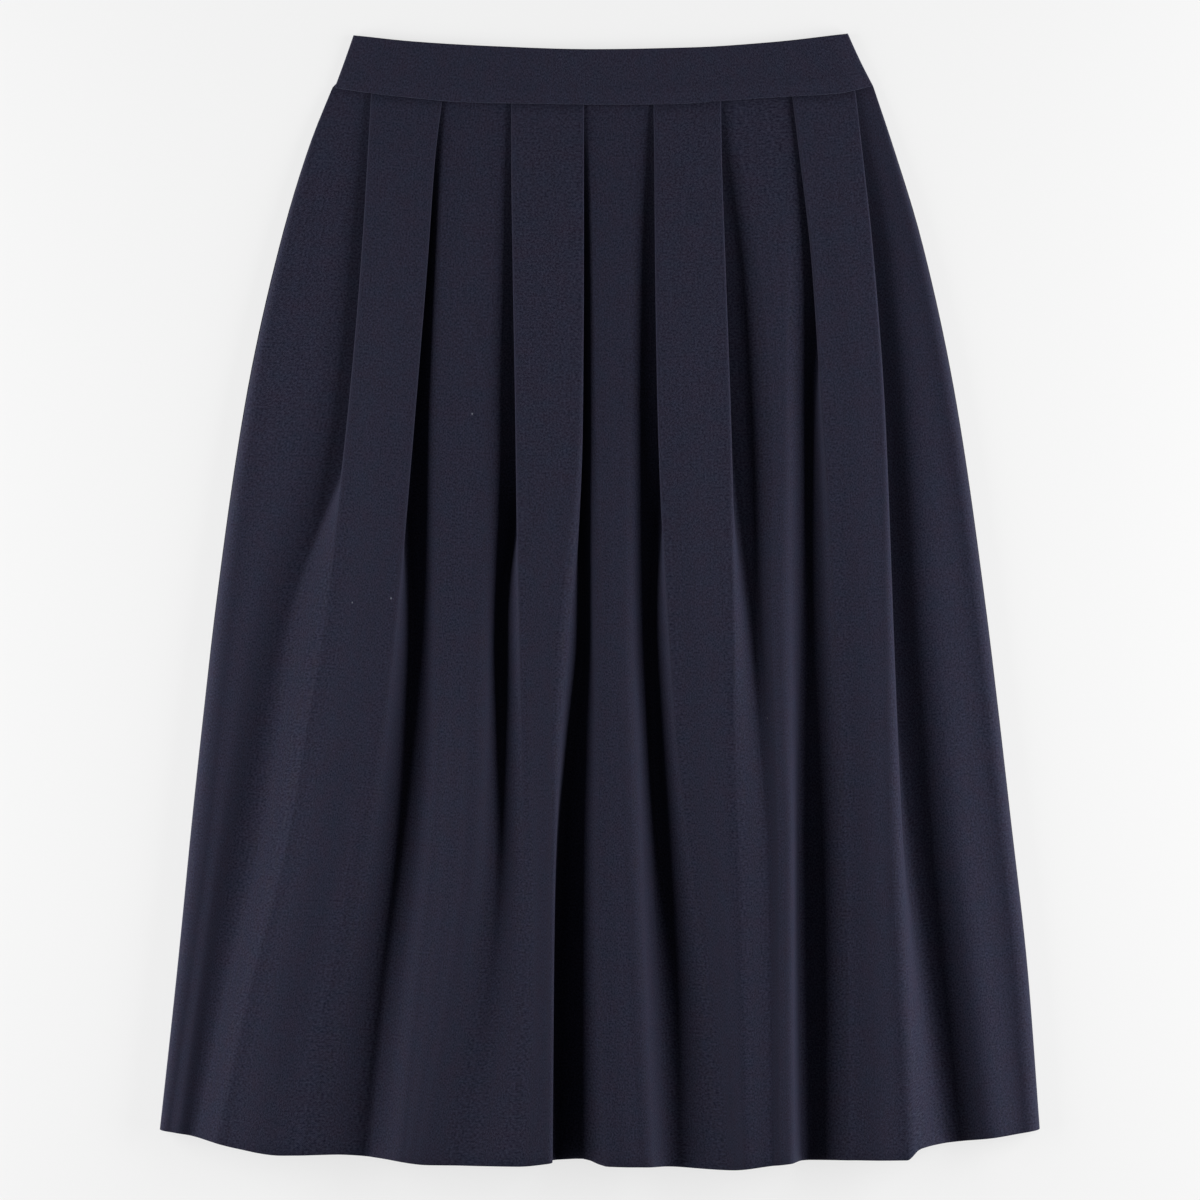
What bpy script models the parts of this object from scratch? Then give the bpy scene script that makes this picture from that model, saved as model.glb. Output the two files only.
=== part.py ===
"""Pleated midi skirt, laid on its back with its front panel up.

X runs across the skirt, Y from the hem to the waist, and Z up from the surface it lies on.
The origin is the middle of the flat underside. The script's lengths are metres; the tables
are in millimetres and are turned into metres where they are read.
"""
import math
from collections import namedtuple

import bpy
import numpy as np

MM = 0.001

# The cloth and the gap that parts two sewn pieces.
SKIRT_WALL = 1.2 * MM
BAND_WALL = 2.2 * MM
SEAM_GAP = 0.3 * MM

# Sections down the front panel and down the back panel, and sections along the bands.
FRONT_ROWS = (0, 0.02, 0.05, 0.09, 0.14, 0.2, 0.26, 0.33, 0.4, 0.47, 0.54, 0.61, 0.68, 0.75,
              0.82, 0.88, 0.94, 1)
BACK_ROWS = 12
BACK_COLUMNS = 18
BAND_ROWS = 4
BAND_STEPS = (3, 16, 3)

# Points along the waist seam, the band's top edge and the hem, in millimetres: x from the
# centre line, y up from the middle of the skirt's length.
Knot = namedtuple("Knot", "x y")
WAIST_SEAM = (
    Knot(-192, 366), Knot(-162, 361.4), Knot(-137, 358.6), Knot(-100, 355.4),
    Knot(-50, 354.2), Knot(0, 353.6), Knot(50, 353.8), Knot(87, 356.2),
    Knot(137, 359.4), Knot(168, 361.2), Knot(195, 367),
)
BAND_TOP = (
    Knot(-176, 403), Knot(-134, 398.6), Knot(-77, 395.2), Knot(-6, 393),
    Knot(65, 394.3), Knot(122, 398), Knot(177, 404.2),
)
HEM = (
    Knot(-314, -376.8), Knot(-294, -380), Knot(-260, -388.6), Knot(-225, -394),
    Knot(-190, -393.8), Knot(-157, -396.4), Knot(-120, -400.6), Knot(-60, -401.4),
    Knot(-30, -398.6), Knot(-12, -397), Knot(4, -401.6), Knot(40, -402.2),
    Knot(92, -404.2), Knot(125, -400.8), Knot(150, -398.4), Knot(185, -397.4),
    Knot(218, -397.2), Knot(228, -389.6), Knot(258, -385), Knot(290, -380.8), Knot(314, -376.8),
)

# How far down each column of the next tables lies, as a share of the way from seam to hem.
STATIONS = (0, 0.05, 0.15, 0.3, 0.5, 0.6, 0.7, 0.85, 1)

# The skirt's side edges, in millimetres from the centre line, at the stations.
LEFT_SIDE = (-191, -206, -228.5, -253, -274.5, -283, -291, -302, -313.9)
RIGHT_SIDE = (195, 207.5, 230, 254, 275.5, 284.5, 293, 305.5, 313.9)

# Heights of the cloth's middle above the surface, in millimetres, at the stations.
EDGE_TOP = (5.5, 8, 13, 18, 23, 25.5, 28, 31, 33)
OUTER_TOP = (5.5, 7.5, 11.5, 15.5, 19, 20.5, 21.5, 23, 24)
INNER_TOP = (5.5, 8, 13, 18, 22.5, 24, 25, 26, 26)
ROLL_TOP = (2.6, 5.4, 10.2, 14.5, 19, 21, 23.5, 27, 29)
ROLL_3_TOP = (2.6, 5.4, 10.2, 14.5, 19, 22.5, 26, 29, 30.5)
LEFT_TOP = (2.7, 5, 8, 11, 13, 14, 14.5, 15, 15)
RIGHT_TOP = (2.7, 5, 7.5, 9.5, 10.5, 11, 11.5, 12, 12)

# Every bend across the front panel from the left side seam to the right, in order.
# turn: RIDGE turns down to the right, VALLEY turns up. hug: which way the cloth lies from
# the stated place, +1 right, -1 left, 0 for a valley, whose place is its middle.
# across: its place from the centre line at the stations. steps: mesh steps to the next bend.
# crown: how far the cloth to the next bend swells upwards, a share of its length, at the hem.
# slack: how far it sags on its way, a share of the rise or fall to the next bend, at the
# waist seam, where the cloth lies level; a steep stretch sags less.
RIDGE = -1
VALLEY = 1
Bend = namedtuple("Bend", "name turn hug across height radius steps crown slack")
BENDS = (
    Bend("left_side", RIDGE, 1, LEFT_SIDE, LEFT_TOP, (0.8, 2.2, 5, 8, 10, 10, 10, 8, 6), 7, 0.12, 0),
    Bend("tuck_a_left", VALLEY, 0, (-140, -143, -158, -172, -219, -232, -247, -274, -292),
         (2.3, 2.3, 4.5, 7.5, 8, 8.5, 9, 10.5, 13), (0.8, 1.2, 1.6, 1.6, 10, 19, 22, 14, 10), 5, 0, 0),
    Bend("a_left", RIDGE, 1, (-163, -165, -169.5, -179, -197.5, -211, -225, -255, -281),
         OUTER_TOP, (0.8, 1, 1.2, 1.5, 3, 4, 6, 9, 12), 6, 0.05, 0),
    Bend("a_right", RIDGE, -1, (-113, -117.5, -122.9, -132, -144.5, -150.5, -158, -174, -189),
         INNER_TOP, (0.8, 1, 1.2, 1.4, 3.5, 9, 15, 21, 25), 5, 0, 0),
    Bend("tuck_a_right", VALLEY, 0, (-127, -130, -134.5, -141, -134, -137.5, -142.5, -155, -167),
         (2.3, 2.3, 2.3, 2.3, 2.3, 2.3, 2.8, 6.5, 12), (0.8, 1.2, 2, 3, 4, 4, 4, 5, 8), 6, 0, 0.5),
    Bend("roll_1_left", RIDGE, 1, (-112, -115, -119, -124.5, -123, -123, -127.5, -139.5, -151),
         (2.6, 5.4, 10.2, 14.5, 18, 19, 20.5, 24, 28), (2, 3.5, 6, 12, 14, 14, 14, 14, 14), 5, 0.05, 0),
    Bend("roll_1_right", RIDGE, -1, (-64, -65, -67, -68.5, -76, -78, -80, -94, -114),
         (2.6, 5.4, 10.2, 14.5, 21, 25, 27, 29, 30), (4, 7, 10, 14, 14, 14, 14, 14, 14), 6, 0, 0.1),
    Bend("tuck_b_left", VALLEY, 0, (-42, -43.5, -46, -50, -70, -70.5, -71, -80, -100),
         (2.3, 2.3, 2.3, 2.3, 2.3, 8, 13, 20.5, 25.5), (0.8, 1.2, 2, 3, 3, 4, 5, 10, 18), 5, 0, 0),
    Bend("b_left", RIDGE, 1, (-63, -63, -62, -60, -58, -56.5, -56, -62, -80),
         (5.5, 8, 13, 18, 21, 21.5, 23, 28, 31), (0.8, 1, 1.2, 1.4, 1.6, 2, 3.5, 12, 20), 6, 0.04, 0),
    Bend("b_right", RIDGE, -1, (-11.8, -11.8, -11.8, -12.5, -20, -27, -31.5, -33.5, -34),
         EDGE_TOP, (0.8, 0.9, 1.1, 3, 12, 8, 3, 3, 4), 5, 0, 0),
    Bend("tuck_b_right", VALLEY, 0, (-26, -25, -23, -20, -11.8, -20, -27, -30.5, -31),
         (2.3, 2.3, 2.3, 2.3, 2.3, 2.3, 2.3, 2.3, 3), (0.8, 1.2, 2, 2.5, 3, 4, 4, 4, 4), 6, 0, 0.5),
    Bend("roll_2_left", RIDGE, 1, (-12, -11, -9.5, -8, -5.4, -4.4, -3.6, -1, 3.2),
         ROLL_TOP, (2, 3.5, 5, 6, 8, 7, 4, 3.5, 4), 5, 0.06, 0),
    Bend("roll_2_right", RIDGE, -1, (30, 28, 25.5, 25.5, 25.5, 28, 30.5, 35, 40),
         (2.6, 5.4, 10.2, 14.5, 20.5, 24, 26.5, 29, 30), (2, 4, 6, 8, 10, 10, 10, 10, 9), 6, 0, 0.3),
    Bend("tuck_c_left", VALLEY, 0, (52, 51, 49.5, 47, 37, 39, 42.5, 49.5, 54),
         (2.3, 2.3, 2.3, 2.3, 2.3, 2.3, 3.5, 8, 14), (0.8, 1.2, 2, 3, 3.5, 4.5, 6, 10, 12), 5, 0, 0),
    Bend("c_left", RIDGE, 1, (38.5, 39, 39.6, 41.5, 48.5, 53.5, 61, 73, 82),
         (5.5, 8, 13, 18, 21, 21.5, 22.5, 24.5, 28), (0.8, 1, 1.2, 1.4, 1.8, 2.5, 5, 9, 12), 6, 0.06, 0),
    Bend("c_right", RIDGE, -1, (86, 86.5, 89, 93, 97, 100, 105, 110, 113),
         (5.5, 8, 13, 18, 23.5, 26, 28.5, 30, 31), (0.8, 1, 1.2, 1.8, 3, 5, 7, 8, 8), 5, 0, 0),
    Bend("tuck_c_right", VALLEY, 0, (66, 70, 86, 92, 108, 114, 119.5, 121.5, 122.5),
         (2.3, 2.3, 2.3, 3, 12, 18.5, 23.5, 27, 28.5), (0.8, 1.2, 2, 3, 4, 5, 4, 4, 4), 5, 0, 0.4),
    Bend("roll_3_left", RIDGE, 1, (88, 93, 103, 110, 117, 120.5, 123.2, 124, 124.6),
         ROLL_3_TOP, (4, 7, 11, 14, 6, 5, 4, 4, 4), 4, 0.03, 0),
    Bend("roll_3_right", RIDGE, -1, (137, 140, 139.5, 138.5, 137, 137, 137.5, 137.5, 138.5),
         ROLL_3_TOP, (4, 6, 8, 8, 9, 8, 6, 6, 6), 6, 0, 0),
    Bend("tuck_d_left", VALLEY, 0, (157.5, 161, 160, 151, 146.5, 145, 144.5, 145.5, 147.5),
         (2.3, 2.3, 2.3, 2.3, 2.5, 2.5, 2.5, 4, 7), (0.8, 1.2, 2, 3, 4, 4.5, 4.5, 5, 5), 5, 0, 0.3),
    Bend("d_left", RIDGE, 1, (137.5, 142, 150.5, 158, 167, 170.5, 172.5, 174, 172.5),
         (5.5, 7.8, 11.8, 16, 18, 19, 20.5, 22.5, 24), (0.8, 1, 1.2, 1.4, 1.8, 2, 2.5, 4, 6), 6, 0.06, 0),
    Bend("d_right", RIDGE, -1, (181.8, 186, 194, 202.5, 208.5, 211.5, 215, 221.5, 227),
         (5.5, 7.8, 12.2, 17, 21, 23, 25, 27, 28.5), (0.8, 1, 1.5, 2.5, 5, 6.5, 8, 9, 9), 5, 0, 0),
    Bend("tuck_d_right", VALLEY, 0, (162.5, 176, 191, 199, 206, 213, 221, 236, 252),
         (2.3, 2.3, 2.3, 2.5, 3, 3.5, 4, 4.5, 5.5), (0.8, 1.2, 2, 2.5, 3, 4, 6, 9, 12), 7, 0.18, 0),
    Bend("right_side", RIDGE, -1, RIGHT_SIDE, RIGHT_TOP,
         (0.8, 2.2, 4.5, 6.5, 7.5, 8, 8.5, 9, 9), 2, 0, 0),
)
SIDE_STEPS = 2

# A mesh step is spent on so much bending or so much length, whichever the cloth has.
STEP_ANGLE = math.radians(38)
STEP_LENGTH = 14 * MM
FINE = 16
TINY = 0.001 * MM

# The height at which a band's front layer lies, along its top edge and along the seam.
BAND_TOP_HEIGHT = 4.6 * MM
BAND_SEAM_HEIGHT = 5.3 * MM
BAND_END_ROUND = 1.3 * MM
BAND_END_FOOT = 0.1 * MM
BAND_END_RUN = 14 * MM
BAND_SHOULDER_ROUND = 20 * MM
BAND_LEFT_TOP = -176 * MM
BAND_LEFT_SEAM = -189.5 * MM
BAND_RIGHT_TOP = 177 * MM
BAND_RIGHT_SEAM = 195 * MM

# The back panel's hem stands a little short of the front's.
BACK_HEM_SIDE = -376 * MM
BACK_HEM_MIDDLE = -394 * MM

NAVY = (0.017, 0.02, 0.045, 1)
CLOTH_ROUGHNESS = 0.85


def smooth_curve(knots, values, at):
    """A smooth line through the values at the knots, with no swing past them, read at places."""
    knots = np.asarray(knots, float)
    values = np.asarray(values, float)
    rise = np.diff(values) / np.diff(knots)
    run = np.diff(knots)
    slopes = np.zeros_like(values)
    slopes[0] = rise[0]
    slopes[-1] = rise[-1]
    for i in range(1, len(knots) - 1):
        if rise[i - 1] * rise[i] > 0:
            before = 2 * run[i] + run[i - 1]
            after = run[i] + 2 * run[i - 1]
            slopes[i] = (before + after) / (before / rise[i - 1] + after / rise[i])
    at = np.clip(np.asarray(at, float), knots[0], knots[-1])
    span = np.clip(np.searchsorted(knots, at) - 1, 0, len(knots) - 2)
    width = run[span]
    t = (at - knots[span]) / width
    start = (1 + 2 * t) * (1 - t) ** 2 * values[span] + t * (1 - t) ** 2 * width * slopes[span]
    finish = t * t * (3 - 2 * t) * values[span + 1] - t * t * (1 - t) * width * slopes[span + 1]
    return start + finish


def line_height(line, x):
    """Y of a line such as the hem at x, both in metres."""
    return MM * smooth_curve([knot.x for knot in line], [knot.y for knot in line], x / MM)


def at_station(column, down):
    """A table row's value in metres, a share down the skirt."""
    return MM * float(smooth_curve(STATIONS, column, down))


Circle = namedtuple("Circle", "x z radius turn")


def bend_circles(down):
    """The round bends of the front panel's section, a share down the skirt."""
    circles = []
    for bend in BENDS:
        radius = at_station(bend.radius, down)
        height = at_station(bend.height, down)
        x = at_station(bend.across, down) + bend.hug * radius
        circles.append(Circle(x, height + bend.turn * radius, radius, bend.turn))
    left, right = circles[0], circles[-1]
    circles[0] = left._replace(x=left.x + SKIRT_WALL / 2)
    circles[-1] = right._replace(x=right.x - SKIRT_WALL / 2)
    return circles


def heading_between(first, second):
    """The heading of the straight cloth that leaves one bend and meets the next."""
    across = second.x - first.x
    up = second.z - first.z
    aim = math.atan2(up, across)
    if first.turn > second.turn and aim < -math.pi / 2:
        aim += 2 * math.pi
    if first.turn < second.turn and aim > math.pi / 2:
        aim -= 2 * math.pi
    lean = (first.turn * first.radius - second.turn * second.radius) / math.hypot(across, up)
    return aim + math.asin(lean)


def arc(circle, start, finish):
    """Points round a bend between two headings."""
    heading = np.linspace(start, finish, FINE)
    reach = circle.turn * circle.radius
    return np.column_stack((circle.x + reach * np.sin(heading), circle.z - reach * np.cos(heading)))


def even_steps(path, count):
    """A path cut into steps that share its length and its turning evenly."""
    leg = np.diff(path, axis=0)
    length = np.hypot(leg[:, 0], leg[:, 1])
    keep = np.append(True, length > TINY)
    path = path[keep]
    leg = np.diff(path, axis=0)
    length = np.hypot(leg[:, 0], leg[:, 1])
    heading = np.unwrap(np.arctan2(leg[:, 1], leg[:, 0]))
    turning = np.abs(np.diff(heading, prepend=heading[0]))
    turning = (turning + np.append(turning[1:], 0)) / 2
    spent = np.append(0, np.cumsum(length / STEP_LENGTH + turning / STEP_ANGLE))
    wanted = np.linspace(0, spent[-1], count + 1)
    return np.column_stack((np.interp(wanted, spent, path[:, 0]),
                            np.interp(wanted, spent, path[:, 1])))


def belt(circles, steps, bows, foot):
    """X and Z of cloth that rises from a foot, runs round the bends and falls to a foot again.

    steps and bows hold, for each stretch between two bends, its mesh steps and how far it
    swells upwards from the straight.
    """
    headings = [math.pi / 2]
    for first, second in zip(circles, circles[1:]):
        headings.append(heading_between(first, second))
    headings.append(-math.pi / 2)
    middles = [(a + b) / 2 for a, b in zip(headings, headings[1:])]
    left = arc(circles[0], headings[0], middles[0])
    rise = np.array([[left[0, 0], foot]])
    pieces = [even_steps(np.vstack((rise, left)), SIDE_STEPS)]
    for index in range(len(circles) - 1):
        heading = headings[index + 1]
        leaving = arc(circles[index], middles[index], heading)
        meeting = arc(circles[index + 1], heading, middles[index + 1])
        share = np.linspace(0, 1, FINE)[1:-1, None]
        straight = leaving[-1] * (1 - share) + meeting[0] * share
        swell = bows(index, meeting[0] - leaving[-1]) * np.sin(math.pi * share) ** 2
        straight += swell * np.array([[-math.sin(heading), math.cos(heading)]])
        path = np.vstack((leaving, straight, meeting))
        pieces.append(even_steps(path, steps[index])[1:])
    right = arc(circles[-1], middles[-1], headings[-1])
    fall = np.array([[right[-1, 0], foot]])
    pieces.append(even_steps(np.vstack((right, fall)), SIDE_STEPS)[1:])
    return np.vstack(pieces)


def front_section(down):
    """X and Z of the cloth's middle across the front panel, a share down the skirt."""
    def bow(index, leg):
        length = math.hypot(*leg)
        level = (leg[0] / length) ** 2
        sag = BENDS[index].slack * (1 - down) * abs(leg[1]) * level
        return BENDS[index].crown * down * length - sag

    steps = [bend.steps for bend in BENDS]
    return belt(bend_circles(down), steps, bow, SKIRT_WALL + 2 * SEAM_GAP)


def cloth_material(name):
    material = bpy.data.materials.new(name)
    material.use_nodes = True
    shader = material.node_tree.nodes["Principled BSDF"]
    shader.inputs["Base Color"].default_value = NAVY
    shader.inputs["Roughness"].default_value = CLOTH_ROUGHNESS
    shader.inputs["Metallic"].default_value = 0
    return material


def add_sheet(name, rows, wall, collection):
    """One piece of cloth from the rows of points of its middle, given its wall by Solidify."""
    count = len(rows[0])
    points = [tuple(point) for row in rows for point in row]
    faces = []
    for r in range(len(rows) - 1):
        for c in range(count - 1):
            first = r * count + c
            faces.append((first, first + count, first + count + 1, first + 1))
    mesh = bpy.data.meshes.new(name)
    mesh.from_pydata(points, [], faces)
    mesh.materials.append(cloth_material(name + "_cloth"))
    mesh.shade_smooth()
    piece = bpy.data.objects.new(name, mesh)
    collection.objects.link(piece)
    solid = piece.modifiers.new("Wall", "SOLIDIFY")
    solid.thickness = wall
    solid.offset = 0
    return piece


def skirt_front_rows():
    rows = []
    for down in FRONT_ROWS:
        section = front_section(down)
        x = section[:, 0]
        seam = line_height(WAIST_SEAM, x) - SEAM_GAP
        hem = line_height(HEM, x)
        rows.append(np.column_stack((x, seam + (hem - seam) * down, section[:, 1])))
    return rows


def skirt_back_rows():
    rows = []
    for down in np.linspace(0, 1, BACK_ROWS + 1):
        x = np.linspace(at_station(LEFT_SIDE, down), at_station(RIGHT_SIDE, down), BACK_COLUMNS + 1)
        seam = line_height(WAIST_SEAM, x) - SEAM_GAP
        share = x / x[-1]
        hem = BACK_HEM_MIDDLE + (BACK_HEM_SIDE - BACK_HEM_MIDDLE) * share ** 2
        y = seam + (hem - seam) * down
        rows.append(np.column_stack((x, y, np.full_like(x, SKIRT_WALL / 2))))
    return rows


def band_ends(share):
    """X of a waistband's two ends, a share of the way from its seam to its top edge."""
    left = BAND_LEFT_SEAM + (BAND_LEFT_TOP - BAND_LEFT_SEAM) * share
    right = BAND_RIGHT_SEAM + (BAND_RIGHT_TOP - BAND_RIGHT_SEAM) * share
    return left, right


def band_front_section(share):
    """X and Z of the front band's middle: tight bends at its ends, then a slow rise to its top."""
    left, right = band_ends(share)
    top = BAND_SEAM_HEIGHT + (BAND_TOP_HEIGHT - BAND_SEAM_HEIGHT) * share
    low = BAND_WALL + SEAM_GAP + BAND_END_FOOT
    inset = BAND_WALL / 2 + BAND_END_ROUND
    circles = (
        Circle(left + inset, low, BAND_END_ROUND, RIDGE),
        Circle(left + BAND_END_RUN, top - BAND_SHOULDER_ROUND, BAND_SHOULDER_ROUND, RIDGE),
        Circle(right - BAND_END_RUN, top - BAND_SHOULDER_ROUND, BAND_SHOULDER_ROUND, RIDGE),
        Circle(right - inset, low, BAND_END_ROUND, RIDGE),
    )
    return belt(circles, BAND_STEPS, lambda index, leg: 0, BAND_WALL + SEAM_GAP)


def band_rows(front):
    """Rows of a waistband from its seam up to its top edge."""
    rows = []
    for share in np.linspace(1, 0, BAND_ROWS + 1):
        if front:
            x, z = band_front_section(share).T
        else:
            x = np.linspace(*band_ends(share), sum(BAND_STEPS) + 1)
            z = np.full_like(x, BAND_WALL / 2)
        seam = line_height(WAIST_SEAM, x)
        edge = line_height(BAND_TOP, x)
        rows.append(np.column_stack((x, seam + (edge - seam) * share, z)))
    return rows


def main():
    for old in list(bpy.data.objects):
        bpy.data.objects.remove(old)
    skirt = bpy.data.collections.new("pleated_midi_skirt")
    bpy.context.scene.collection.children.link(skirt)
    add_sheet("skirt_front", skirt_front_rows(), SKIRT_WALL, skirt)
    add_sheet("skirt_back", skirt_back_rows(), SKIRT_WALL, skirt)
    add_sheet("waistband_front", band_rows(front=True), BAND_WALL, skirt)
    add_sheet("waistband_back", band_rows(front=False), BAND_WALL, skirt)


main()
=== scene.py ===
import math
from collections import namedtuple

import bpy
import numpy as np
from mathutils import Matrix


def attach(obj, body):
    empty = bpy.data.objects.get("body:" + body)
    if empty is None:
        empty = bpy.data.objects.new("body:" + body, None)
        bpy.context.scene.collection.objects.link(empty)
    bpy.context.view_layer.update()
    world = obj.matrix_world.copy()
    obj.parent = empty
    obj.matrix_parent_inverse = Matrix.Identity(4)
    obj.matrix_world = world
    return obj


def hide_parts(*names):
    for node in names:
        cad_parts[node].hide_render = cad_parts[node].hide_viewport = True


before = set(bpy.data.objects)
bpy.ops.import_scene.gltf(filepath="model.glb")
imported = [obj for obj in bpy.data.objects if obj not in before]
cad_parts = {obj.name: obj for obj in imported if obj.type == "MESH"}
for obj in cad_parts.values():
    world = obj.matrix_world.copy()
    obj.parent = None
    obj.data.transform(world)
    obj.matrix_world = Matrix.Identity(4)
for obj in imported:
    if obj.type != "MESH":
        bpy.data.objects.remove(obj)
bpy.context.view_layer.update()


# ---------------------------------------------------------------------------------------
# Front panel: one width of matte navy twill with four box pleats pressed into it at the
# waist seam. The pleats spring open towards the hem, which is turned up once inside and
# blind stitched. Tables are in millimetres; X from the centre line, Y up from the middle.

MM = 0.001

# The wall, the dip of the pleats into the seam, the edge tucked in under the band, the fold
# and the depth of the hem's turn-up, and the height at which the side seams stand.
TWILL = 0.7
SEAM_DIP = 2.6
SEAM_DIP_RUN = 2.2
TUCKED_IN = 3
TUCKED_NARROWER = 0.985
HEM_FOLD = 0.55
HEM_FOLD_TURNS = np.radians((45, 90, 135, 180))
TURN_UP_ROWS = 6
SIDE_FOOT = 1.05

# The mesh: its rows, which crowd towards the seam, the steps up each side, and the turn and
# the length that count alike when a stretch, first drawn with FINE points, is cut into steps.
FRONT_ROWS = 106
ROW_CROWDING = 1.22
SIDE_STEPS = 4
STEP_ANGLE = math.radians(14)
STEP_LENGTH = 3.4
FINE = 40
TINY = 0.001
SMOOTH_UNDER = math.radians(60)

Knot = namedtuple("Knot", "x y")
WAIST_SEAM = (
    Knot(-192, 366), Knot(-162, 361.4), Knot(-137, 358.6), Knot(-100, 355.4),
    Knot(-50, 354.2), Knot(0, 353.6), Knot(50, 353.8), Knot(87, 356.2),
    Knot(137, 359.4), Knot(168, 361.2), Knot(195, 367),
)
HEM = (
    Knot(-314, -376.8), Knot(-294, -380), Knot(-260, -388.6), Knot(-225, -394),
    Knot(-190, -393.8), Knot(-157, -396.4), Knot(-120, -400.6), Knot(-60, -401.4),
    Knot(-30, -398.6), Knot(-12, -397), Knot(4, -401.6), Knot(40, -402.2),
    Knot(92, -404.2), Knot(125, -400.8), Knot(150, -398.4), Knot(185, -397.4),
    Knot(218, -397.2), Knot(228, -389.6), Knot(258, -385), Knot(290, -380.8), Knot(314, -376.8),
)

# Shares of the way from the waist seam to the hem, and the values at each of them.
STATIONS = (0, 0.05, 0.15, 0.3, 0.5, 0.6, 0.7, 0.85, 1)
LEFT_SIDE = (-191, -206, -228.5, -253, -274.5, -283, -291, -302, -313.9)
RIGHT_SIDE = (195, 207.5, 230, 254, 275.5, 284.5, 293, 305.5, 313.9)
EDGE_TOP = (5, 8, 13, 18, 23, 25.5, 28, 31, 33)
OUTER_TOP = (5, 7.5, 11.5, 15.5, 19, 20.5, 21.5, 23, 24)
INNER_TOP = (5, 8, 13, 18, 22.5, 24, 25, 26, 26)
D_TOP = (5, 7.8, 12.2, 17, 21, 23, 25, 27, 28.5)
ROLL_TOP = (2.6, 5.4, 10.2, 14.5, 19, 21, 23.5, 27, 29)
ROLL_3_TOP = (2.6, 5.4, 10.2, 14.5, 19, 22.5, 26, 29, 30.5)
LEFT_TOP = (3, 5, 8, 11, 13, 14, 14.5, 15, 15)
RIGHT_TOP = (3, 5, 7.5, 9.5, 10.5, 11, 11.5, 12, 12)

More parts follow.
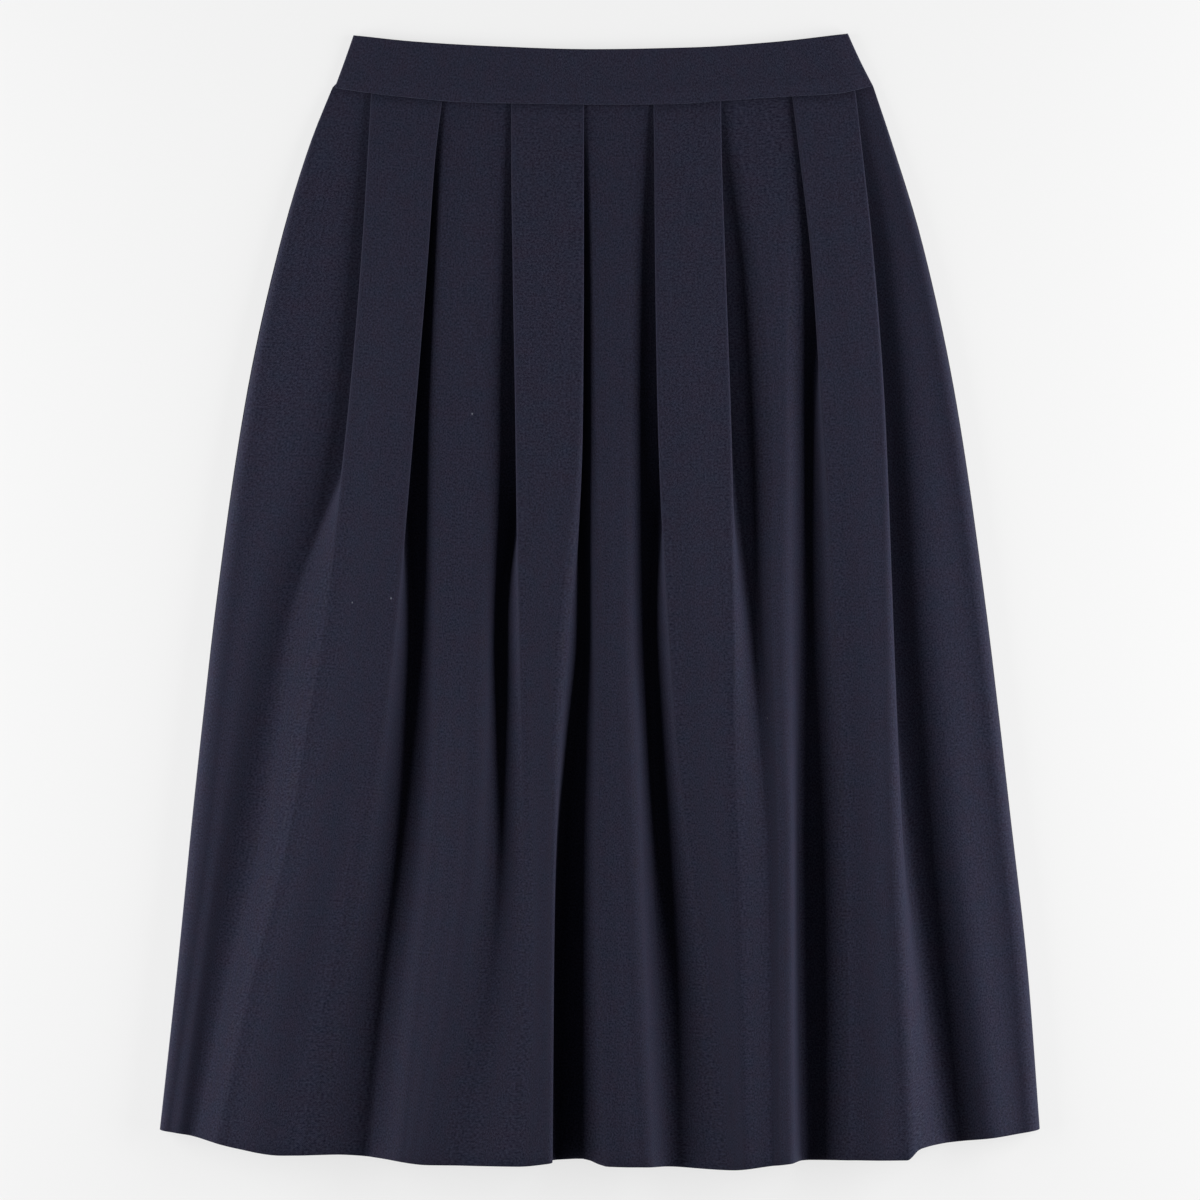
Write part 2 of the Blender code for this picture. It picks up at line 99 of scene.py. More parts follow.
# Every bend across the panel, left to right. turn: a ridge turns down to the right, a valley
# up. hug: which way the cloth lies from the stated place. steps: columns to the next bend.
# crown: how far the cloth to the next bend swells, a share of its length, at the hem.
# slack: how far it sags on its way, a share of the rise or fall to it, at the waist seam.
RIDGE = -1
VALLEY = 1
Bend = namedtuple("Bend", "name turn hug across height radius steps crown slack")
BENDS = (
    Bend("left_side", RIDGE, 1, LEFT_SIDE, LEFT_TOP, (0.8, 2.2, 5, 8, 10, 10, 10, 8, 6), 30, 0.12, 0),
    Bend("tuck_a_left", VALLEY, 0, (-140, -143, -158, -172, -224, -240, -253, -274, -292),
         (2.3, 2.3, 4.5, 7.5, 8, 8.5, 9, 12, 14.5), (0.8, 1.2, 1.6, 1.6, 12.5, 27, 32, 20, 11), 14, 0, 0),
    Bend("a_left", RIDGE, 1, (-163, -165, -169.5, -179, -197.5, -211, -225, -255, -281),
         OUTER_TOP, (0.8, 1, 1.2, 1.5, 3, 4, 6, 9, 12), 28, 0.05, 0),
    Bend("a_right", RIDGE, -1, (-113, -117.5, -122.9, -132, -144.5, -150.5, -158, -174, -189),
         INNER_TOP, (0.8, 1, 1.2, 1.4, 3.5, 9, 15, 21, 25), 10, 0, 0),
    Bend("tuck_a_right", VALLEY, 0, (-127, -130, -134.5, -141, -134, -137.5, -142.5, -155, -167),
         (2.3, 2.3, 2.3, 2.3, 2.3, 2.3, 2.8, 6.5, 12), (0.8, 1.2, 2, 3, 4, 4, 4, 5, 8), 10, 0, 0.5),
    Bend("roll_1_left", RIDGE, 1, (-112, -115, -119, -124.5, -123, -123, -127.5, -139.5, -151),
         (2.6, 5.4, 10.2, 14.5, 18, 19, 20.5, 24, 28), (2, 3.5, 6, 12, 14, 14, 14, 14, 14), 24, 0.05, 0),
    Bend("roll_1_right", RIDGE, -1, (-64, -65, -67, -68.5, -76, -78, -80, -94, -114),
         (2.6, 5.4, 10.2, 14.5, 21, 25, 27, 29, 30), (4, 7, 10, 14, 14, 14, 14, 14, 14), 10, 0, 0.1),
    Bend("tuck_b_left", VALLEY, 0, (-42, -43.5, -46, -50, -70, -70.5, -71, -80, -100),
         (2.3, 2.3, 2.3, 2.3, 2.3, 8, 13, 20.5, 25.5), (0.8, 1.2, 2, 3, 3, 4, 5, 10, 18), 10, 0, 0),
    Bend("b_left", RIDGE, 1, (-63, -63, -62, -60, -58, -56.5, -56, -62, -80),
         (5, 8, 13, 18, 21, 21.5, 23, 28, 31), (0.8, 1, 1.2, 1.4, 1.6, 2, 3.5, 12, 20), 26, 0.04, 0),
    Bend("b_right", RIDGE, -1, (-11.8, -11.8, -11.8, -12.5, -20, -27, -31.5, -33.5, -34),
         EDGE_TOP, (0.8, 0.9, 1.1, 3, 12, 8, 3, 3, 4), 10, 0, 0),
    Bend("tuck_b_right", VALLEY, 0, (-26, -25, -23, -20, -11.8, -20, -27, -30.5, -31),
         (2.3, 2.3, 2.3, 2.3, 2.3, 2.3, 2.3, 2.3, 3), (0.8, 1.2, 2, 2.5, 3, 4, 4, 4, 4), 10, 0, 0.5),
    Bend("roll_2_left", RIDGE, 1, (-12, -11, -9.5, -8, -5.4, -4.4, -3.6, -1, 3.2),
         ROLL_TOP, (2, 3.5, 5, 6, 8, 7, 4, 3.5, 4), 24, 0.06, 0),
    Bend("roll_2_right", RIDGE, -1, (30, 28, 25.5, 25.5, 25.5, 28, 30.5, 35, 40),
         (2.6, 5.4, 10.2, 14.5, 20.5, 24, 26.5, 29, 30), (2, 4, 6, 8, 10, 10, 10, 10, 9), 10, 0, 0.3),
    Bend("tuck_c_left", VALLEY, 0, (52, 51, 49.5, 47, 37, 39, 42.5, 49.5, 54),
         (2.3, 2.3, 2.3, 2.3, 2.3, 2.3, 3.5, 8, 14), (0.8, 1.2, 2, 3, 3.5, 4.5, 6, 10, 12), 10, 0, 0),
    Bend("c_left", RIDGE, 1, (38.5, 39, 39.6, 41.5, 48.5, 53.5, 61, 73, 82),
         (5, 8, 13, 18, 21, 21.5, 22.5, 24.5, 28), (0.8, 1, 1.2, 1.4, 1.8, 2.5, 5, 9, 12), 26, 0.06, 0),
    Bend("c_right", RIDGE, -1, (86, 86.5, 89, 93, 97, 100, 105, 110, 113),
         (5, 8, 13, 18, 23.5, 26, 28.5, 30, 31), (0.8, 1, 1.2, 1.8, 3, 5, 7, 8, 8), 10, 0, 0),
    Bend("tuck_c_right", VALLEY, 0, (66, 70, 86, 92, 108, 114, 119.5, 121.5, 122.5),
         (2.3, 2.3, 2.3, 3, 12, 18.5, 23.5, 27, 28.5), (0.8, 1.2, 2, 3, 4, 5, 4, 4, 4), 10, 0, 0.4),
    Bend("roll_3_left", RIDGE, 1, (88, 93, 103, 110, 117, 120.5, 123.2, 124, 124.6),
         ROLL_3_TOP, (4, 7, 11, 14, 6, 5, 4, 4, 4), 20, 0.03, 0),
    Bend("roll_3_right", RIDGE, -1, (137, 140, 139.5, 138.5, 137, 137, 137.5, 137.5, 138.5),
         ROLL_3_TOP, (4, 6, 8, 8, 9, 8, 6, 6, 6), 10, 0, 0),
    Bend("tuck_d_left", VALLEY, 0, (157.5, 161, 160, 151, 146.5, 145, 144.5, 145.5, 147.5),
         (2.3, 2.3, 2.3, 2.3, 2.5, 2.5, 2.5, 4, 7), (0.8, 1.2, 2, 3, 4, 4.5, 4.5, 5, 5), 10, 0, 0.3),
    Bend("d_left", RIDGE, 1, (137.5, 142, 150.5, 158, 167, 170.5, 172.5, 174, 172.5),
         (5, 7.8, 11.8, 16, 18, 19, 20.5, 22.5, 24), (0.8, 1, 1.2, 1.4, 1.8, 2, 2.5, 4, 6), 26, 0.06, 0),
    Bend("d_right", RIDGE, -1, (181.8, 186, 194, 202.5, 208.5, 211.5, 215, 221.5, 227),
         D_TOP, (0.8, 1, 1.5, 2.5, 5, 6.5, 8, 9, 9), 12, 0, 0),
    Bend("tuck_d_right", VALLEY, 0, (162.5, 176, 191, 199, 206, 213, 221, 236, 252),
         (2.3, 2.3, 2.3, 2.5, 3, 3.5, 4, 4.5, 5.5), (0.8, 1.2, 2, 2.5, 3, 4, 6, 9, 12), 26, 0.18, 0),
    Bend("right_side", RIDGE, -1, RIGHT_SIDE, RIGHT_TOP,
         (0.8, 2.2, 4.5, 6.5, 7.5, 8, 8.5, 9, 9), 2, 0, 0),
)

# Soft creases and swellings in the cloth. after: the bend that it lies to the right of.
# top and low: how far it is on to the next bend, at its two ends, which lie at the shares
# start and finish down the skirt. width: from its middle to its foot. rise: up, or down if
# it is a trough. Each fades out towards its ends, the faster the greater CREASE_FADE is.
CREASE_FADE = 1.2
Crease = namedtuple("Crease", "after top low start finish width rise")
FRONT_CREASES = (
    Crease("left_side", 0.35, 0.42, 0.02, 0.42, 9, -0.5),
    Crease("left_side", 0.6, 0.55, 0.3, 0.95, 14, 0.8),
    Crease("left_side", 0.2, 0.3, 0.5, 1.05, 10, -0.7),
    Crease("a_left", 0.35, 0.4, -0.05, 0.3, 7, -0.35),
    Crease("a_left", 0.6, 0.55, 0.1, 0.7, 9, 0.4),
    Crease("a_left", 0.25, 0.3, 0.55, 1.05, 12, 0.8),
    Crease("a_left", 0.7, 0.62, 0.6, 1.05, 10, -0.8),
    Crease("roll_1_left", 0.5, 0.45, -0.05, 0.35, 8, 0.4),
    Crease("roll_1_left", 0.6, 0.4, 0.5, 1.05, 9, -0.6),
    Crease("b_left", 0.3, 0.35, -0.05, 0.28, 6, -0.35),
    Crease("b_left", 0.65, 0.6, 0.12, 0.6, 8, -0.4),
    Crease("b_left", 0.45, 0.6, 0.6, 1.05, 9, 0.6),
    Crease("roll_2_left", 0.5, 0.5, 0.02, 0.5, 7, -0.3),
    Crease("roll_2_left", 0.4, 0.5, 0.55, 1.05, 9, -0.6),
    Crease("c_left", 0.3, 0.35, 0.05, 0.45, 7, 0.4),
    Crease("c_left", 0.62, 0.55, 0.2, 0.75, 8, -0.45),
    Crease("c_left", 0.4, 0.35, 0.6, 1.05, 10, 0.7),
    Crease("roll_3_left", 0.5, 0.55, 0.02, 0.6, 8, 0.4),
    Crease("d_left", 0.35, 0.4, 0.02, 0.4, 7, -0.35),
    Crease("d_left", 0.6, 0.5, 0.3, 0.85, 8, 0.45),
    Crease("d_left", 0.45, 0.35, 0.65, 1.05, 10, -0.6),
    Crease("tuck_d_right", 0.45, 0.4, 0.1, 0.6, 10, 0.7),
    Crease("tuck_d_right", 0.6, 0.65, 0.45, 1.05, 11, -0.8),
)


def smooth_curve(knots, values, at):
    """A smooth line through the values at the knots, with no swing past them, read at places."""
    knots = np.asarray(knots, float)
    values = np.asarray(values, float)
    run = np.diff(knots)
    rise = np.diff(values) / run
    slopes = np.zeros_like(values)
    slopes[0] = rise[0]
    slopes[-1] = rise[-1]
    for i in range(1, len(knots) - 1):
        if rise[i - 1] * rise[i] > 0:
            before = 2 * run[i] + run[i - 1]
            after = run[i] + 2 * run[i - 1]
            slopes[i] = (before + after) / (before / rise[i - 1] + after / rise[i])
    at = np.clip(np.asarray(at, float), knots[0], knots[-1])
    span = np.clip(np.searchsorted(knots, at) - 1, 0, len(knots) - 2)
    width = run[span]
    t = (at - knots[span]) / width
    start = (1 + 2 * t) * (1 - t) ** 2 * values[span] + t * (1 - t) ** 2 * width * slopes[span]
    finish = t * t * (3 - 2 * t) * values[span + 1] - t * t * (1 - t) * width * slopes[span + 1]
    return start + finish


def line_height(line, x):
    """Y of a line such as the hem at x."""
    return smooth_curve([knot.x for knot in line], [knot.y for knot in line], x)


Circle = namedtuple("Circle", "x z radius turn")


def bend_circles(down):
    """The round bends of the front panel's section, a share down the skirt."""
    circles = []
    for bend in BENDS:
        radius, height, across = (
            float(smooth_curve(STATIONS, column, down))
            for column in (bend.radius, bend.height, bend.across)
        )
        x = across + bend.hug * radius
        circles.append(Circle(x, height + bend.turn * radius, radius, bend.turn))
    circles[0] = circles[0]._replace(x=circles[0].x + TWILL / 2)
    circles[-1] = circles[-1]._replace(x=circles[-1].x - TWILL / 2)
    return circles


def heading_between(first, second):
    """The heading of the straight cloth that leaves one bend and meets the next."""
    across = second.x - first.x
    up = second.z - first.z
    aim = math.atan2(up, across)
    if first.turn > second.turn and aim < -math.pi / 2:
        aim += 2 * math.pi
    if first.turn < second.turn and aim > math.pi / 2:
        aim -= 2 * math.pi
    lean = (first.turn * first.radius - second.turn * second.radius) / math.hypot(across, up)
    return aim + math.asin(lean)


def arc(circle, start, finish):
    """Points round a bend between two headings."""
    heading = np.linspace(start, finish, FINE)
    reach = circle.turn * circle.radius
    return np.column_stack((circle.x + reach * np.sin(heading), circle.z - reach * np.cos(heading)))


def even_steps(path, count):
    """A path cut into steps that share its length and its turning evenly."""
    leg = np.diff(path, axis=0)
    keep = np.append(True, np.hypot(leg[:, 0], leg[:, 1]) > TINY)
    path = path[keep]
    leg = np.diff(path, axis=0)
    length = np.hypot(leg[:, 0], leg[:, 1])
    heading = np.unwrap(np.arctan2(leg[:, 1], leg[:, 0]))
    turning = np.abs(np.diff(heading, prepend=heading[0]))
    turning = (turning + np.append(turning[1:], 0)) / 2
    spent = np.append(0, np.cumsum(length / STEP_LENGTH + turning / STEP_ANGLE))
    wanted = np.linspace(0, spent[-1], count + 1)
    return np.column_stack((np.interp(wanted, spent, path[:, 0]),
                            np.interp(wanted, spent, path[:, 1])))


def belt(circles, steps, bow, foot):
    """X and Z of cloth that rises from a foot, runs round the bends and falls to a foot again.

    bow(index, leg) is how far the stretch after a bend swells upwards from the straight.
    """
    headings = [math.pi / 2]
    for first, second in zip(circles, circles[1:]):
        headings.append(heading_between(first, second))
    headings.append(-math.pi / 2)
    middles = [(a + b) / 2 for a, b in zip(headings, headings[1:])]
    left = arc(circles[0], headings[0], middles[0])
    rise = np.array([[left[0, 0], foot]])
    pieces = [even_steps(np.vstack((rise, left)), SIDE_STEPS)]
    for index, heading in enumerate(headings[1:-1]):
        leaving = arc(circles[index], middles[index], heading)
        meeting = arc(circles[index + 1], heading, middles[index + 1])
        share = np.linspace(0, 1, FINE)[1:-1, None]
        straight = leaving[-1] * (1 - share) + meeting[0] * share
        swell = bow(index, meeting[0] - leaving[-1]) * np.sin(math.pi * share) ** 2
        straight += swell * np.array([[-math.sin(heading), math.cos(heading)]])
        path = np.vstack((leaving, straight, meeting))
        pieces.append(even_steps(path, steps[index])[1:])
    right = arc(circles[-1], middles[-1], headings[-1])
    fall = np.array([[right[-1, 0], foot]])
    pieces.append(even_steps(np.vstack((right, fall)), SIDE_STEPS)[1:])
    return np.vstack(pieces)


def front_section(down):
    """X and Z of the cloth's middle across the front panel, a share down the skirt."""
    def bow(index, leg):
        length = math.hypot(*leg)
        level = (leg[0] / length) ** 2
        sag = BENDS[index].slack * (1 - down) * abs(leg[1]) * level
        return BENDS[index].crown * down * length - sag

    return belt(bend_circles(down), [bend.steps for bend in BENDS], bow, SIDE_FOOT)


def along_and_out(grid):
    """Unit directions down the cloth and out of its face, at each point of a grid of rows."""
    down = np.gradient(grid, axis=0)
    right = np.gradient(grid, axis=1)
    out = np.cross(down, right)
    down /= np.linalg.norm(down, axis=2, keepdims=True)
    out /= np.maximum(np.linalg.norm(out, axis=2, keepdims=True), TINY)
    return down, out


def across_cloth(grid):
    """How far each point is along its row of cloth, measured from the row's middle."""
    step = np.linalg.norm(np.diff(grid, axis=1), axis=2)
    run = np.concatenate((np.zeros((len(grid), 1)), np.cumsum(step, axis=1)), axis=1)
    return run - run[:, -1:] / 2


def crease(grid, shares, columns, creases):
    """Moves a grid's points out of or into its face along the listed soft creases."""
    out = along_and_out(grid)[1]
    run = across_cloth(grid)
    for line in creases:
        start, finish = columns[line.after]
        t = np.clip((shares - line.start) / (line.finish - line.start), 0, 1)
        fade = np.sin(math.pi * t) ** CREASE_FADE
        place = start + (finish - start) * (line.top + (line.low - line.top) * t)
        for r in np.nonzero(fade > 0)[0]:
            middle = np.interp(place[r], np.arange(grid.shape[1]), run[r])
            swell = line.rise * fade[r] * np.exp(-((run[r] - middle) / line.width) ** 2)
            grid[r] += swell[:, None] * out[r]


def turned_up_hem(grid, fold, rows, side):
    """Rows of cloth that turn round at a grid's last row and run back along its inside.

    side is 1 where the grid's face is the inside of the skirt, and -1 where it is the outside.
    """
    down, out = along_and_out(grid)
    rim = [grid[-1] + fold * (math.sin(turn) * down[-1] + side * (1 - math.cos(turn)) * out[-1])
           for turn in HEM_FOLD_TURNS]
    inside = [grid[-1 - row] + side * 2 * fold * out[-1 - row] for row in range(1, rows + 1)]
    return rim + inside


def cloth_sheet(name, grid, wall, material):
    """A mesh piece from rows of points of the cloth's middle, with its wall and its UV map."""
    rows, count = grid.shape[:2]
    faces = [(r * count + c, (r + 1) * count + c, (r + 1) * count + c + 1, r * count + c + 1)
             for r in range(rows - 1) for c in range(count - 1)]
    mesh = bpy.data.meshes.new(name)
    mesh.from_pydata((grid.reshape(-1, 3) * MM).tolist(), [], faces)
    fall = np.linalg.norm(np.diff(grid, axis=0), axis=2).mean(axis=1)
    v = -np.append(0, np.cumsum(fall))[:, None] * np.ones((1, count))
    u = np.ones((rows, 1)) * across_cloth(grid).mean(axis=0)
    flat = np.stack((u, v), axis=2).reshape(-1, 2) * MM
    corners = np.empty(len(mesh.loops), np.int32)
    mesh.loops.foreach_get("vertex_index", corners)
    mesh.uv_layers.new(name="cloth").data.foreach_set("uv", flat[corners].ravel())
    mesh.materials.append(material)
    piece = bpy.data.objects.new(name, mesh)
    bpy.context.scene.collection.objects.link(piece)
    solid = piece.modifiers.new("Wall", "SOLIDIFY")
    solid.thickness = wall * MM
    solid.offset = 0
    return piece


def finish_piece(piece):
    """Applies a piece's modifiers and shades it smooth but for its sharp edges."""
    bpy.ops.object.select_all(action="DESELECT")
    piece.select_set(True)
    bpy.context.view_layer.objects.active = piece
    for modifier in list(piece.modifiers):
        bpy.ops.object.modifier_apply(modifier=modifier.name)
    bpy.ops.object.shade_smooth_by_angle(angle=SMOOTH_UNDER)
    piece.select_set(False)


def put(tree, kind, settings=None, **sockets):
    """Adds a shader node; a socket is given a value or another node's output.

    A socket is named with _ for a space, or by its number after a _.
    """
    node = tree.nodes.new(kind)
    for name, value in (settings or {}).items():
        setattr(node, name, value)
    for name, value in sockets.items():
        socket = node.inputs[int(name[1:]) if name[0] == "_" else name.replace("_", " ")]
        if isinstance(value, bpy.types.NodeSocket):
            tree.links.new(value, socket)
        else:
            socket.default_value = value
    return node


# Colours of the cloth, how strongly its grain shades it, about how many times a metre each
# pattern repeats across and along the cloth, and the twill's pitch and relief in metres.
NAVY = (0.0103, 0.0121, 0.0270, 1)
VIOLET_NAVY = (0.0130, 0.0111, 0.0252, 1)
GRAIN = (0.0102, 0.0106, 0.016)
MOTTLES = 60
SLUBS = (620, 45, 1)
SLUB_SHARE = 0.3
PICKS = (1050, 700, 1)
LINT = (0.11, 0.115, 0.14, 1)
LINT_CELLS = (34, 21, 1)
LINT_TURN = 0.5
LINT_SIZE = 0.016
LINT_RARITY = 0.86
TWILL_PITCH = 0.0006
WAVE_LENGTH_AT_SCALE_ONE = 0.314
TWILL_SLANT = math.radians(-27)
TWILL_RELIEF = 0.00012
SLUB_RELIEF = 1.6


def navy_twill(name):
    """Matte navy twill: steep diagonal ribs, slubby upright yarns, blue and violet mottling."""
    material = bpy.data.materials.new(name)
    material.use_nodes = True
    tree = material.node_tree
    shader = tree.nodes["Principled BSDF"]
    cloth = put(tree, "ShaderNodeUVMap", {"uv_map": "cloth"}).outputs["UV"]

    mottle = put(tree, "ShaderNodeTexNoise", Vector=cloth, Scale=MOTTLES, Detail=5, Roughness=0.75)
    mottle_range = put(tree, "ShaderNodeMapRange", Value=mottle.outputs["Fac"], From_Min=0.35,
                       From_Max=0.65)
    tone = put(tree, "ShaderNodeMix", {"data_type": "RGBA"}, _0=mottle_range.outputs["Result"],
               _6=NAVY, _7=VIOLET_NAVY)

    upright = put(tree, "ShaderNodeMapping", Vector=cloth, Scale=SLUBS)
    slub = put(tree, "ShaderNodeTexNoise", Vector=upright.outputs["Vector"], Scale=1, Detail=2,
               Roughness=0.6)
    fine = put(tree, "ShaderNodeMapping", Vector=cloth, Scale=PICKS)
    pick = put(tree, "ShaderNodeTexNoise", Vector=fine.outputs["Vector"], Scale=1, Detail=1,
               Roughness=0.6)
    grain = put(tree, "ShaderNodeMath", {"operation": "MULTIPLY_ADD"}, _0=slub.outputs["Fac"],
                _1=SLUB_SHARE, _2=pick.outputs["Fac"])
    swing = put(tree, "ShaderNodeMapRange", Value=grain.outputs["Value"], From_Min=0.43,
                From_Max=0.87, To_Min=-0.9, To_Max=0.9)
    shaded = put(tree, "ShaderNodeVectorMath", {"operation": "MULTIPLY_ADD"},
                 _0=swing.outputs["Result"], _1=GRAIN, _2=tone.outputs[2])

    fibres = put(tree, "ShaderNodeMapping", Vector=cloth, Scale=LINT_CELLS,
                 Rotation=(0, 0, LINT_TURN))
    speck = put(tree, "ShaderNodeTexVoronoi", Vector=fibres.outputs["Vector"], Scale=1)
    near = put(tree, "ShaderNodeMath", {"operation": "LESS_THAN"}, _0=speck.outputs["Distance"],
               _1=LINT_SIZE)
    chosen = put(tree, "ShaderNodeMath", {"operation": "GREATER_THAN"},
                 _0=put(tree, "ShaderNodeSeparateColor", Color=speck.outputs["Color"]).outputs[0],
                 _1=LINT_RARITY)
    lint = put(tree, "ShaderNodeMath", {"operation": "MULTIPLY"}, _0=near.outputs["Value"],
               _1=chosen.outputs["Value"])
    colour = put(tree, "ShaderNodeMix", {"data_type": "RGBA"}, _0=lint.outputs["Value"],
                 _6=shaded.outputs["Vector"], _7=LINT)
    tree.links.new(colour.outputs[2], shader.inputs["Base Color"])

    slant = put(tree, "ShaderNodeMapping", Vector=cloth, Rotation=(0, 0, TWILL_SLANT))
    rib = put(tree, "ShaderNodeTexWave", Vector=slant.outputs["Vector"],
              Scale=WAVE_LENGTH_AT_SCALE_ONE / TWILL_PITCH, Distortion=1.5, Detail=1)
    relief = put(tree, "ShaderNodeMath", {"operation": "MULTIPLY_ADD"}, _0=slub.outputs["Fac"],
                 _1=SLUB_RELIEF, _2=rib.outputs["Fac"])
    bump = put(tree, "ShaderNodeBump", Height=relief.outputs["Value"], Strength=0.5,
               Distance=TWILL_RELIEF)
    tree.links.new(bump.outputs["Normal"], shader.inputs["Normal"])
    rough = put(tree, "ShaderNodeMapRange", Value=slub.outputs["Fac"], From_Min=0.3, From_Max=0.7,
                To_Min=0.78, To_Max=0.95)
    tree.links.new(rough.outputs["Result"], shader.inputs["Roughness"])
    shader.inputs["Specular IOR Level"].default_value = 0.18
    shader.inputs["Sheen Weight"].default_value = 0.12
    shader.inputs["Sheen Roughness"].default_value = 0.4
    shader.inputs["Sheen Tint"].default_value = (0.45, 0.5, 0.75, 1)
    return material


def front_columns():
    """The first and last column of the cloth after each bend."""
    columns = {}
    first = SIDE_STEPS
    for bend in BENDS[:-1]:
        columns[bend.name] = (first, first + bend.steps)
        first += bend.steps
    return columns


def front_grid():
    """Rows of the front's cloth, from the edge tucked in under the band to the turn-up's end."""
    shares = np.linspace(0, 1, FRONT_ROWS) ** ROW_CROWDING
    grid = []
    for down in shares:
        x, z = front_section(down).T
        seam = line_height(WAIST_SEAM, x)
        y = seam + (line_height(HEM, x) - seam) * down
        dip = math.exp(-((seam.mean() - y.mean()) / SEAM_DIP_RUN) ** 2)
        z = SIDE_FOOT + (z - SIDE_FOOT) * (1 - dip * SEAM_DIP / EDGE_TOP[0])
        grid.append(np.column_stack((x, y, z)))
    grid = np.array(grid)
    crease(grid, shares, front_columns(), FRONT_CREASES)
    tucked = grid[:1] * np.array([TUCKED_NARROWER, 1, 1]) + np.array([0, TUCKED_IN, 0])
    return np.concatenate((tucked, grid, turned_up_hem(grid, HEM_FOLD, TURN_UP_ROWS, -1)))


skirt_cloth = navy_twill("skirt_cloth")
front_panel = cloth_sheet("front_panel", front_grid(), TWILL, skirt_cloth)
finish_piece(front_panel)
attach(front_panel, "root")
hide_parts("skirt_front")


# ---------------------------------------------------------------------------------------
# Back panel: a plain flared panel of the same twill. It carries the front, so it lies flat
# on the surface, with a few faint creases where the front's open pleats leave it free.

BACK_TWILL = 0.5
BACK_HEM_FOLD = 0.38
BACK_TURN_UP_ROWS = 3
BACK_ROWS = 60
BACK_COLUMNS = 90
BACK_HEM_SIDE = -376
BACK_HEM_MIDDLE = -394
BACK_CREASES = (
    Crease("side", 0.08, 0.05, 0.3, 0.97, 8, 0.9),
    Crease("side", 0.24, 0.14, 0.25, 0.97, 9, 1.2),
    Crease("side", 0.36, 0.32, 0.35, 0.95, 6, 0.8),
    Crease("side", 0.52, 0.55, 0.3, 0.97, 7, 1),
    Crease("side", 0.66, 0.7, 0.3, 0.9, 6, 0.7),
    Crease("side", 0.79, 0.83, 0.35, 0.97, 8, 1.1),
    Crease("side", 0.93, 0.96, 0.4, 0.97, 7, 0.9),
)


def back_grid():
    """Rows of the back's cloth, from the waist seam to the turn-up's end."""
    shares = np.linspace(0, 1, BACK_ROWS)
    grid = []
    for down in shares:
        left, right = (float(smooth_curve(STATIONS, side, down)) for side in (LEFT_SIDE, RIGHT_SIDE))
        x = np.linspace(left, right, BACK_COLUMNS + 1)
        seam = line_height(WAIST_SEAM, x)
        hem = BACK_HEM_MIDDLE + (BACK_HEM_SIDE - BACK_HEM_MIDDLE) * (x / right) ** 2
        grid.append(np.column_stack((x, seam + (hem - seam) * down,
                                     np.full_like(x, BACK_TWILL / 2))))
    grid = np.array(grid)
    crease(grid, shares, {"side": (0, BACK_COLUMNS)}, BACK_CREASES)
    return np.concatenate((grid, turned_up_hem(grid, BACK_HEM_FOLD, BACK_TURN_UP_ROWS, 1)))


back_panel = cloth_sheet("back_panel", back_grid(), BACK_TWILL, skirt_cloth)
finish_piece(back_panel)
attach(back_panel, "root")
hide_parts("skirt_back")


# ---------------------------------------------------------------------------------------
# Front waistband: a shaped band of the same twill, interfaced, folded double and pressed.
# The pleated edge is seamed into it, and the seam allowance lies up inside as a soft ridge.

BAND = 1.7
BAND_TOP = (
    Knot(-176, 403), Knot(-134, 398.6), Knot(-77, 395.2), Knot(-6, 393),
    Knot(65, 394.3), Knot(122, 398), Knot(177, 404.2),
)
BAND_TOP_HEIGHT = 4.6
BAND_SEAM_HEIGHT = 5.3
BAND_END_ROUND = 1.3
BAND_END_FOOT = 0.1
BAND_END_RUN = 14
BAND_SHOULDER_ROUND = 20
BAND_LEFT_TOP = -176
BAND_LEFT_SEAM = -189.5
BAND_RIGHT_TOP = 177
BAND_RIGHT_SEAM = 195
BAND_ROWS = 30
BAND_STEPS = (10, 150, 10)
BAND_EDGE_ROUND = 0.3

# The seam allowance's ridge, in shares of the way up the band and in its rise, and the slight
# waves that the band has settled into. drift: how far a wave slants on its way up the band.
ALLOWANCE_UP = 0.22
ALLOWANCE_WIDE = 0.1
ALLOWANCE_RISE = 0.3
Wave = namedtuple("Wave", "rise run start drift")
BAND_WAVES = (Wave(0.12, 23, 1.1, 0), Wave(0.1, 11, 0, 4))


def band_ends(share):
    """X of a waistband's two ends, a share of the way from its seam to its top edge."""
    left = BAND_LEFT_SEAM + (BAND_LEFT_TOP - BAND_LEFT_SEAM) * share
    right = BAND_RIGHT_SEAM + (BAND_RIGHT_TOP - BAND_RIGHT_SEAM) * share
    return left, right


def band_section(share):
    """X and Z of the front band's middle: tight bends at its ends, then a slow rise."""
    left, right = band_ends(share)
    top = BAND_SEAM_HEIGHT + (BAND_TOP_HEIGHT - BAND_SEAM_HEIGHT) * share
    low = BAND + BAND_END_FOOT
    inset = BAND / 2 + BAND_END_ROUND
    circles = (
        Circle(left + inset, low, BAND_END_ROUND, RIDGE),
        Circle(left + BAND_END_RUN, top - BAND_SHOULDER_ROUND, BAND_SHOULDER_ROUND, RIDGE),
        Circle(right - BAND_END_RUN, top - BAND_SHOULDER_ROUND, BAND_SHOULDER_ROUND, RIDGE),
        Circle(right - inset, low, BAND_END_ROUND, RIDGE),
    )
    return belt(circles, BAND_STEPS, lambda index, leg: 0, BAND + BAND_END_FOOT / 2)


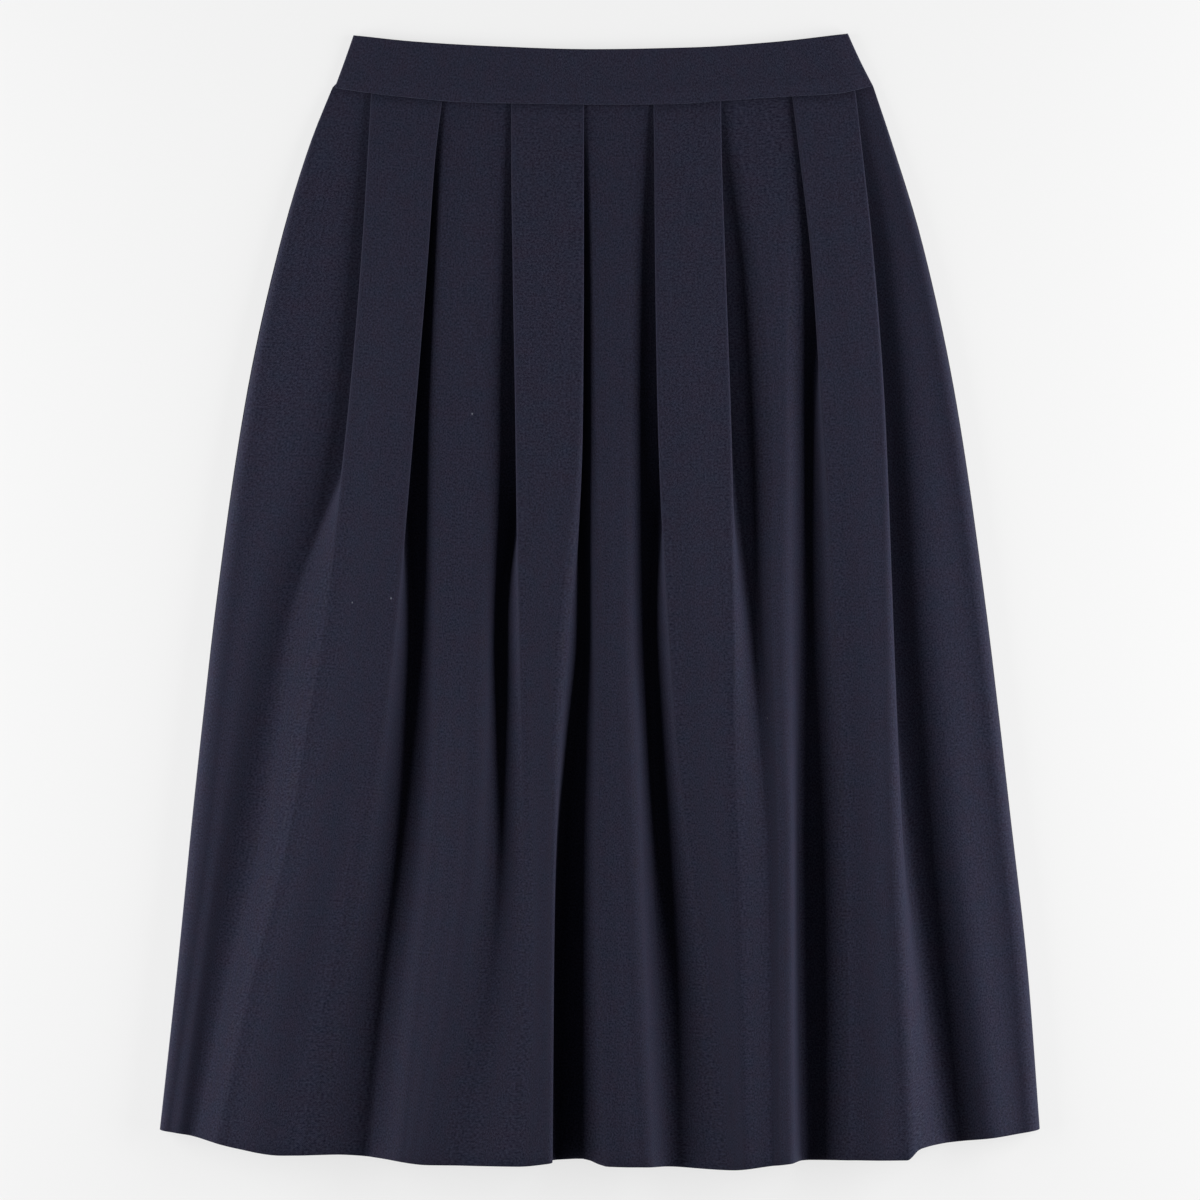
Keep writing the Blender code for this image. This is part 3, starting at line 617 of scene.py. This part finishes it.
def band_grid():
    """Rows of the front band's cloth, from its top edge down to the waist seam."""
    grid = []
    for share in np.linspace(1, 0, BAND_ROWS):
        x, z = band_section(share).T
        ridge = ALLOWANCE_RISE * math.exp(-((share - ALLOWANCE_UP) / ALLOWANCE_WIDE) ** 2)
        settled = sum(wave.rise * np.sin(x / wave.run + wave.start + wave.drift * share)
                      for wave in BAND_WAVES)
        z = z + (ridge + settled) * np.clip((z - BAND) / BAND, 0, 1)
        seam = line_height(WAIST_SEAM, x)
        edge = line_height(BAND_TOP, x)
        grid.append(np.column_stack((x, seam + (edge - seam) * share, z)))
    return np.array(grid)


def round_band_edges(band):
    """Rounds the sharp edges that a band's wall leaves."""
    bevel = band.modifiers.new("Edges", "BEVEL")
    bevel.width = BAND_EDGE_ROUND * MM
    bevel.segments = 3
    bevel.limit_method = "ANGLE"
    bevel.angle_limit = SMOOTH_UNDER


band_cloth = navy_twill("band_cloth")
front_band = cloth_sheet("front_waistband", band_grid(), BAND, band_cloth)
round_band_edges(front_band)
finish_piece(front_band)
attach(front_band, "root")
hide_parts("waistband_front")


# ---------------------------------------------------------------------------------------
# Back waistband: of the same cut and cloth as the front one, sewn to it at both ends. It
# lies flat under it.

def back_band_grid():
    """Rows of the back band's cloth, from its top edge down to the waist seam."""
    grid = []
    for share in np.linspace(1, 0, BAND_ROWS):
        x = np.linspace(*band_ends(share), sum(BAND_STEPS) + 1)
        seam = line_height(WAIST_SEAM, x)
        edge = line_height(BAND_TOP, x)
        grid.append(np.column_stack((x, seam + (edge - seam) * share, np.full_like(x, BAND / 2))))
    return np.array(grid)


back_band = cloth_sheet("back_waistband", back_band_grid(), BAND, band_cloth)
round_band_edges(back_band)
finish_piece(back_band)
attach(back_band, "root")
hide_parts("waistband_back")


# ---------------------------------------------------------------------------------------
# The studio: a plain pale floor that glows so that no shadow shows, a long low soft light on
# either side, a weak light from all round, and the camera straight over the skirt.

FLOOR_SIZE = 24
FLOOR_PALE = 0.16
FLOOR_GLOW = 0.72
bpy.ops.object.select_all(action="DESELECT")
bpy.ops.mesh.primitive_plane_add(size=FLOOR_SIZE, location=(0, 0, 0))
floor = bpy.context.object
floor.name = "floor"
pale = bpy.data.materials.new("pale_floor")
pale.use_nodes = True
paint = pale.node_tree.nodes["Principled BSDF"]
paint.inputs["Base Color"].default_value = (FLOOR_PALE, FLOOR_PALE, FLOOR_PALE, 1)
paint.inputs["Roughness"].default_value = 1
paint.inputs["Specular IOR Level"].default_value = 0
paint.inputs["Emission Color"].default_value = (1, 1, 1, 1)
paint.inputs["Emission Strength"].default_value = FLOOR_GLOW
floor.data.materials.append(pale)

SIDE_LIGHT_OUT = 1.3
SIDE_LIGHT_UP = 0.45
SIDE_LIGHT_LONG = 1.4
SIDE_LIGHT_TALL = 0.84
LEFT_LIGHT_POWER = 31.5
RIGHT_LIGHT_POWER = 37
for side, power in ((-1, LEFT_LIGHT_POWER), (1, RIGHT_LIGHT_POWER)):
    lamp = bpy.data.lights.new("side_light", "AREA")
    lamp.shape = "RECTANGLE"
    lamp.size = SIDE_LIGHT_LONG
    lamp.size_y = SIDE_LIGHT_TALL
    lamp.energy = power
    light = bpy.data.objects.new("side_light", lamp)
    bpy.context.scene.collection.objects.link(light)
    light.location = (side * SIDE_LIGHT_OUT, 0, SIDE_LIGHT_UP)
    light.rotation_euler = (-light.location).to_track_quat("-Z", "Y").to_euler()
    light.visible_camera = False

FILL = 0.1
world = bpy.data.worlds.new("fill")
world.use_nodes = True
world.node_tree.nodes["Background"].inputs["Color"].default_value = (1, 1, 1, 1)
world.node_tree.nodes["Background"].inputs["Strength"].default_value = FILL
bpy.context.scene.world = world
bpy.context.scene.view_settings.view_transform = "Standard"

VIEW_WIDTH = 0.857
CAMERA_HEIGHT = 5
SENSOR = 36
camera = bpy.data.objects.new("camera", bpy.data.cameras.new("camera"))
bpy.context.scene.collection.objects.link(camera)
camera.location = (0, 0, CAMERA_HEIGHT)
camera.data.sensor_width = SENSOR
camera.data.lens = SENSOR * CAMERA_HEIGHT / VIEW_WIDTH
bpy.context.scene.camera = camera
